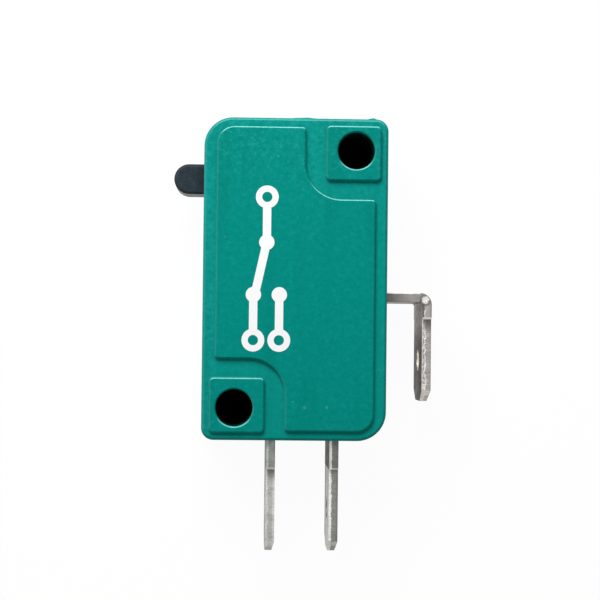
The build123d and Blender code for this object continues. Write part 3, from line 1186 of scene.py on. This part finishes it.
@dataclass(frozen=True)
class Sheet(Finish):
    """Matt sheet of the staging, with a faint fibre."""

    colour: Colour = WHITE
    fibre: Colour = WHITE
    fibres: Cloud = (0.8 * MM, 3.0, 0.6)
    fibre_share: Ramp = (0.3, 0.7)
    roughness: float = 0.95

    def shade(self, graph: Graph, surface: Node) -> None:
        """Wire the sheet.

        Args:
            graph: The material's tree.
            surface: The Principled node.
        """
        fibres = graph.spread(graph.noise(graph.place(), *self.fibres), *self.fibre_share)
        graph.feed(surface, {
            "Base Color": graph.blend(fibres, self.colour, self.fibre),
            "Roughness": self.roughness, "Specular IOR Level": 0.0,
        })


@dataclass(frozen=True)
class PaperWhite(Sheet):
    """White paper beneath the part, seen as white by the camera and still taking its shadow."""

    title: str = "paper_white"
    colour: Colour = (0.8, 0.8, 0.8, 1.0)
    fibre: Colour = (0.84, 0.84, 0.84, 1.0)
    glow: float = 0.951
    shadow_share: float = 0.057

    def shade(self, graph: Graph, surface: Node) -> None:
        """Wire the paper.

        Args:
            graph: The material's tree.
            surface: The Principled node.
        """
        super().shade(graph, surface)
        shadowed = (self.shadow_share, self.shadow_share, self.shadow_share, 1.0)
        seen = graph.node("ShaderNodeAddShader", {
            0: graph.node("ShaderNodeEmission", {"Strength": self.glow}).outputs[0],
            1: graph.node("ShaderNodeBsdfDiffuse", {"Color": shadowed}).outputs[0],
        })
        output = next(n for n in graph.tree.nodes if n.type == "OUTPUT_MATERIAL")
        graph.feed(output, {"Surface": graph.backdrop(surface.outputs[0], seen.outputs[0])})


@dataclass(frozen=True)
class BlackCard(Sheet):
    """Black card under the bores, seen only through them: painted shade in the holes."""

    title: str = "black_card"
    colour: Colour = tone(3, 6, 12)
    fibre: Colour = tone(8, 12, 16)
    fibres: Cloud = (0.3 * MM, 3.0, 0.6)
    fibre_share: Ramp = (0.35, 0.7)
    roughness: float = 1.0


class Shape:
    """Builds one mesh object from loose outlines and surfaces.

    Args:
        name: Name of the object.
    """

    def __init__(self, name: str) -> None:
        """Start an empty mesh."""
        self.name = name
        self.mesh = bmesh.new()

    def row(self, points: Sequence[Vector]) -> List[bmesh.types.BMVert]:
        """Add a row of corners."""
        return [self.mesh.verts.new(point) for point in points]

    def skin(self, rows: Sequence[List[bmesh.types.BMVert]], closed: bool = True) -> None:
        """Join rows of corners with four-sided faces.

        Args:
            rows: The rows, all of one length.
            closed: Whether each row closes on itself.
        """
        count = len(rows[0])
        for low, high in zip(rows, rows[1:]):
            for k in range(count if closed else count - 1):
                after = (k + 1) % count
                self.mesh.faces.new((low[k], low[after], high[after], high[k]))

    def slab(self, outline: Sequence[Vector], thickness: float, bevel: float) -> None:
        """Add a flat plate with a bevelled upper rim.

        Args:
            outline: Its lower outline, counter-clockwise from above.
            thickness: Its thickness along Z.
            bevel: How far its upper rim is drawn in.
        """
        least_opening = 0.5
        inward = []
        for k, spot in enumerate(outline):
            before = (spot - outline[k - 1]).normalized()
            after = (outline[(k + 1) % len(outline)] - spot).normalized()
            turned = Vector((-before.y - after.y, before.x + after.x, 0)).normalized()
            opening = max(least_opening, turned.dot(Vector((-before.y, before.x, 0))))
            inward.append(turned / opening)
        rows = []
        for inset, rise in ((0.0, 0.0), (0.0, thickness - bevel), (bevel, thickness)):
            lift = Vector((0, 0, rise))
            rows.append(self.row([s + way * inset + lift for s, way in zip(outline, inward)]))
        self.skin(rows)
        self.mesh.faces.new(rows[-1])
        self.mesh.faces.new(list(reversed(rows[0])))

    def ring(
        self, centre: Point, inner: float, outer: float, thickness: float, sides: int = 64
    ) -> None:
        """Add a flat ring.

        Args:
            centre: Middle of its underside.
            inner: Its inner radius.
            outer: Its outer radius.
            thickness: Its thickness along Z.
            sides: How many sides it has.
        """
        x, y, z = centre
        corners = ((inner, 0.0), (outer, 0.0), (outer, thickness), (inner, thickness))
        rows = [self.row(circle((x, y, z + rise), radius, sides)) for radius, rise in corners]
        self.skin(rows + rows[:1])

    def mound(
        self, centre: Point, across: Point, along: Point, rise: Point, steps: int = 14
    ) -> None:
        """Add a low, slightly uneven mound on a flat surface.

        Args:
            centre: Middle of its foot.
            across: Half its width, as a vector.
            along: Half its length, as a vector.
            rise: Its height, as a vector.
            steps: How many rows it has each way.
        """
        foot_depth, fullness, unevenness = 0.1, 0.8, 0.25
        across_wave, along_wave, cross_wave = 5.1, 2.3, 3.7
        shares = [2 * k / steps - 1 for k in range(steps + 1)]
        rows = []
        for v in shares:
            points = []
            for u in shares:
                swell = (max(0.0, 1 - u * u) * max(0.0, 1 - v * v)) ** fullness
                wave = math.sin(across_wave * u + along_wave * v) * math.cos(cross_wave * v)
                swell *= 1 + unevenness * wave
                spot = Vector(centre) + u * Vector(across) + v * Vector(along)
                points.append(spot + (swell - foot_depth) * Vector(rise))
            rows.append(self.row(points))
        self.skin(rows, closed=False)

    def finish(self, smooth: bool) -> Thing:
        """Turn the mesh into an object in the scene.

        Args:
            smooth: Whether its faces are shaded smooth.

        Returns:
            The object.
        """
        bmesh.ops.recalc_face_normals(self.mesh, faces=self.mesh.faces[:])
        data = bpy.data.meshes.new(self.name)
        self.mesh.to_mesh(data)
        self.mesh.free()
        for face in data.polygons:
            face.use_smooth = smooth
        made = bpy.data.objects.new(self.name, data)
        bpy.context.scene.collection.objects.link(made)
        return made


@dataclass
class PrintedSymbol:
    """Plain changeover-contact symbol on the raised panel, in millimetres."""

    panel_top: float = 10.3
    ink_thickness: float = 0.016
    layer: float = 0.004
    line: float = 0.72
    common: Spot = (2.66, 18.1)
    pivot: Spot = (2.66, 14.2)
    lever_end: Spot = (1.72, 9.9)
    feet: Tuple[Spot, ...] = ((1.56, 5.8), (3.78, 5.8))
    contact_top: float = 9.7
    dot: float = 0.66
    dot_sides: int = 48
    ring_outer: float = 0.98
    ring_inner: float = 0.44

    def on_panel(self, x: float, y: float) -> Vector:
        """Point on the panel, sunk by one layer of ink, in metres."""
        return Vector((x * MM, y * MM, (self.panel_top - self.layer) * MM))

    def ink(self, shape: Shape, outline: Sequence[Vector], layer: int) -> None:
        """Add a flat patch of ink.

        Args:
            shape: The mesh it goes into.
            outline: Its outline, counter-clockwise from above.
            layer: How many layers of ink lie beneath it.
        """
        height = (self.ink_thickness + self.layer * (layer + 1)) * MM
        shape.slab(outline, height, self.layer * MM)

    def stroke(self, shape: Shape, points: Sequence[Spot]) -> None:
        """Add a line of one width through some points, mitred where it turns.

        Args:
            shape: The mesh it goes into.
            points: The points, in the panel's plane.
        """
        spots = [Vector(p) for p in points]
        heads = [(b - a).normalized() for a, b in zip(spots, spots[1:])]
        sides = []
        for k in range(len(spots)):
            before = heads[max(0, k - 1)]
            after = heads[min(k, len(heads) - 1)]
            across = Vector((before.y + after.y, -before.x - after.x)).normalized()
            sides.append(across * (self.line / 2 / across.dot(Vector((before.y, -before.x)))))
        edge = [spot + side for spot, side in zip(spots, sides)]
        edge += [spot - side for spot, side in reversed(list(zip(spots, sides)))]
        self.ink(shape, [self.on_panel(p.x, p.y) for p in edge], 1)

    def build(self) -> List[Thing]:
        """Build and ink the symbol.

        Returns:
            The pieces made.
        """
        shape = Shape("changeover_symbol")
        for spot in (self.common,) + self.feet:
            shape.ring(
                self.on_panel(*spot), self.ring_inner * MM, self.ring_outer * MM,
                (self.ink_thickness + self.layer) * MM,
            )
        reach = (self.ring_inner + self.ring_outer) / 2
        start = (self.common[0], self.common[1] - reach)
        self.stroke(shape, (start, self.pivot, self.lever_end))
        for x, y in self.feet:
            self.stroke(shape, ((x, self.contact_top), (x, y + reach)))
        for x, y in (self.pivot,) + tuple((x, self.contact_top) for x, _ in self.feet):
            self.ink(shape, circle(self.on_panel(x, y), self.dot * MM, self.dot_sides), 2)
        piece = shape.finish(smooth=False)
        PadInk().lay_on(piece)
        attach(piece, BODY)
        return [piece]


@dataclass
class Housing:
    """The two moulded halves, their small moulding marks and the printed symbol, in mm."""

    nodes: Tuple[str, ...] = ("rear_case", "front_cover")
    top: float = 25.0
    mark_z: float = 9.35
    mark_depth: float = 0.26
    gate_x: float = 5.8
    gate_width: float = 1.3
    gate_rise: float = 0.1
    nub_x: float = 11.72
    nub_width: float = 0.45
    nub_rise: float = 0.14
    symbol: PrintedSymbol = field(default_factory=PrintedSymbol)

    def marks(self) -> List[Thing]:
        """Build the two trimmed flash marks on the upper wall.

        Returns:
            The pieces made.
        """
        pieces = []
        for name, x, width, rise in (
            ("gate_mark", self.gate_x, self.gate_width, self.gate_rise),
            ("flash_mark", self.nub_x, self.nub_width, self.nub_rise),
        ):
            shape = Shape(name)
            shape.mound(
                (x * MM, self.top * MM, self.mark_z * MM), (width * MM, 0, 0),
                (0, 0, self.mark_depth * MM), (0, rise * MM, 0),
            )
            piece = shape.finish(smooth=True)
            HousingPlastic().lay_on(piece)
            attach(piece, BODY)
            pieces.append(piece)
        return pieces

    def build(self) -> List[Thing]:
        """Dress the halves and add the marks and the symbol."""
        HousingPlastic().lay_on(*[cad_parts[node] for node in self.nodes])
        return self.marks() + self.symbol.build()


@dataclass
class Plunger:
    """The moulded plunger."""

    node: str = "plunger"

    def build(self) -> List[Thing]:
        """Dress the plunger."""
        PlungerPlastic().lay_on(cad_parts[self.node])
        return []


@dataclass
class Terminals:
    """The three stamped terminals, with the places of their strips and holes in millimetres."""

    thickness: float = 0.8
    middle_z: float = 5.15
    blade_length: float = 7.2
    hole_from_tip: float = 3.55
    bend_y: float = 9.25
    bend_reach: float = 1.0
    # place of the painted glint on the common terminal's bend
    corner_from_face: float = 0.55
    corner_rise: float = 0.2
    corner_z: float = 8.65

    def strip(self, node: str, **changes: object) -> None:
        """Dress one terminal.

        Args:
            node: Its node.
            changes: What differs from the plain finish.
        """
        low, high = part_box(node)
        middle_x = high.x - self.thickness / 2 * MM
        StampedBrass(
            title=f"{node}_strip", inner_x=high.x - self.thickness * MM, tip_y=low.y,
            shoulder_y=low.y + self.blade_length * MM,
            hole=(middle_x, low.y + self.hole_from_tip * MM, self.middle_z * MM), **changes,
        ).lay_on(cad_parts[node])

    def build(self) -> List[Thing]:
        """Dress the three terminals.

        Returns:
            The pieces made, here none.
        """
        self.strip("normally_closed_terminal")
        # Each terminal gets its own tones, many of them painted light and shade.
        self.strip(
            "normally_open_terminal", plain=tone(148, 149, 144), far=tone(128, 129, 124),
            torn=tone(232, 232, 228), bright=tone(252, 252, 248), stem_tone=tone(112, 115, 109),
            step_tone=tone(120, 120, 115), tip_tone=tone(206, 206, 201), torn_share=0.23,
            face_near=tone(240, 240, 236), margin_tone=tone(196, 196, 190), tear_depth=0.4,
            face_far=tone(96, 96, 92), stem_face=tone(92, 92, 88), stain_to=4.6 * MM,
            hole_tone=tone(160, 160, 155),
        )
        _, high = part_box("common_terminal")
        corner = (
            high.x - self.corner_from_face * MM, (self.bend_y + self.corner_rise) * MM,
            self.corner_z * MM,
        )
        self.strip(
            "common_terminal", inner_y=self.bend_y * MM, bend_x=high.x - self.bend_reach * MM,
            corner=corner, torn_share=0.34, tear_size=0.62 * MM, face_near=tone(70, 64, 60),
            face_far=tone(112, 106, 101), stem_face=tone(196, 188, 185),
            bright=tone(238, 235, 230), torn=tone(158, 155, 150), plain=tone(178, 173, 169),
            far=tone(164, 159, 155), stem_tone=tone(160, 155, 151), step_tone=tone(78, 72, 69),
            tip_tone=tone(246, 236, 230), margin_tone=tone(84, 78, 76), rim_share=0.6,
            stain_from=4.0 * MM, stain_to=0.4 * MM, stem_fade=2.4 * MM,
            grazing_tint=(0.44, 0.42, 0.4, 1.0),
        )
        return []


@dataclass
class SnapMechanism:
    """The inner contacts, arm, lever and spring."""

    contacts: Tuple[str, ...] = (
        "normally_closed_contact", "normally_open_contact", "moving_contact"
    )
    arm: str = "contact_arm"
    lever: str = "actuating_lever"
    spring: str = "tension_spring"

    def build(self) -> List[Thing]:
        """Dress the inner pieces.

        Returns:
            The pieces made, here none.
        """
        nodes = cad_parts
        even = (1.0, 1.0, 1.0)
        SpringMetal(
            title="silver_contact", colour=tone(226, 224, 218), dull=tone(188, 184, 174),
            stretch=even,
        ).lay_on(*[nodes[name] for name in self.contacts])
        SpringMetal(
            title="bronze_strip", colour=tone(214, 164, 112), dull=tone(168, 120, 78)
        ).lay_on(nodes[self.arm])
        SpringMetal().lay_on(nodes[self.lever])
        SpringMetal(
            title="spring_wire", colour=tone(196, 196, 196), dull=tone(150, 150, 150),
            stretch=even, edge_radius=0.06 * MM,
        ).lay_on(nodes[self.spring])
        return []


@dataclass
class Studio:
    """White paper, black discs of painted shade under the bores, one soft key lamp, an even
    surround and the camera. Lengths in metres.
    """

    floor_half: float = 0.9
    floor_cuts: int = 8
    floor_gap: float = 0.00002
    card_radius: float = 0.0021
    card_sides: int = 48
    lamp_place: Point = (-0.024, 0.092, 0.092)
    lamp_aim: Point = (0.005, 0.012, 0.0103)
    lamp_size: float = 0.078
    lamp_power: float = 0.143
    surround: float = 0.33
    camera_place: Point = (0.0007, 0.00586, 0.1458)
    camera_aim: Point = (0.00556, 0.00928, 0.0103)
    camera_roll: float = 0.62
    camera_lens: float = 94.9
    sensor: float = 36.0
    clip_start: float = 0.005
    clip_end: float = 10.0

    def floor(self) -> Thing:
        """Lay the paper under the part.

        Returns:
            The paper.
        """
        shape = Shape("paper_floor")
        half, depth = self.floor_half, -self.floor_gap
        corners = [(-half, -half), (half, -half), (half, half), (-half, half)]
        shape.mesh.faces.new(shape.row([Vector((x, y, depth)) for x, y in corners]))
        bmesh.ops.subdivide_edges(
            shape.mesh, edges=shape.mesh.edges[:], cuts=self.floor_cuts, use_grid_fill=True
        )
        piece = shape.finish(smooth=False)
        PaperWhite().lay_on(piece)
        return piece

    def card(self) -> Thing:
        """Lay a black disc under each bore as painted shade seen through it, hidden by the housing
        all round.

        Returns:
            The discs.
        """
        shape = Shape("dark_card")
        for x, y, _ in BORES:
            middle = (x, y, -self.floor_gap / 2)
            shape.mesh.faces.new(shape.row(circle(middle, self.card_radius, self.card_sides)))
        piece = shape.finish(smooth=False)
        BlackCard().lay_on(piece)
        return piece

    def lamp(self) -> Thing:
        """Hang the key lamp above the far end, a little to the left.

        Returns:
            The lamp.
        """
        data = bpy.data.lights.new("key_lamp", "AREA")
        data.shape = "SQUARE"
        data.size = self.lamp_size
        data.energy = self.lamp_power
        made = bpy.data.objects.new("key_lamp", data)
        made.location = self.lamp_place
        aim = Vector(self.lamp_aim) - Vector(self.lamp_place)
        made.rotation_euler = aim.to_track_quat("-Z", "Y").to_euler()
        bpy.context.scene.collection.objects.link(made)
        return made

    def world(self) -> None:
        """Surround the part with even light that the camera and reflections see as white."""
        made = bpy.data.worlds.new("even_surround")
        made.use_nodes = True
        bpy.context.scene.world = made
        graph = Graph(made.node_tree)
        graph.tree.nodes.clear()
        lighting, seen = [
            graph.node("ShaderNodeBackground", {"Color": WHITE, "Strength": strength}).outputs[0]
            for strength in (self.surround, 1.0)
        ]
        graph.node("ShaderNodeOutputWorld", {"Surface": graph.backdrop(lighting, seen)})

    def camera(self) -> Thing:
        """Set the camera where the photograph was taken from.

        Returns:
            The camera.
        """
        data = bpy.data.cameras.new("camera")
        data.sensor_width = self.sensor
        data.lens = self.camera_lens
        data.clip_start = self.clip_start
        data.clip_end = self.clip_end
        made = bpy.data.objects.new("camera", data)
        ahead = (Vector(self.camera_aim) - Vector(self.camera_place)).normalized()
        right = ahead.cross(Vector((0, 1, 0))).normalized()
        above = right.cross(ahead)
        roll = math.radians(self.camera_roll)
        turned_up = above * math.cos(roll) - right * math.sin(roll)
        turned_right = right * math.cos(roll) + above * math.sin(roll)
        matrix = Matrix((turned_right, turned_up, -ahead)).transposed().to_4x4()
        matrix.translation = Vector(self.camera_place)
        made.matrix_world = matrix
        bpy.context.scene.collection.objects.link(made)
        bpy.context.scene.camera = made
        return made

    def build(self) -> List[Thing]:
        """Set up the whole studio.

        Returns:
            What it holds.
        """
        bpy.context.scene.view_settings.view_transform = "Standard"
        self.world()
        return [self.floor(), self.card(), self.lamp(), self.camera()]


def main() -> None:
    """Build the sub-assemblies in order and report their pieces."""
    logging.basicConfig(level=logging.INFO, format="%(name)s: %(message)s")
    for unit in (Housing(), Plunger(), Terminals(), SnapMechanism(), Studio()):
        pieces = unit.build()
        log.info("%s dressed", type(unit).__name__)
        for piece in pieces:
            log.info("  made %s", piece.name)


if __name__ == "__main__":
    main()
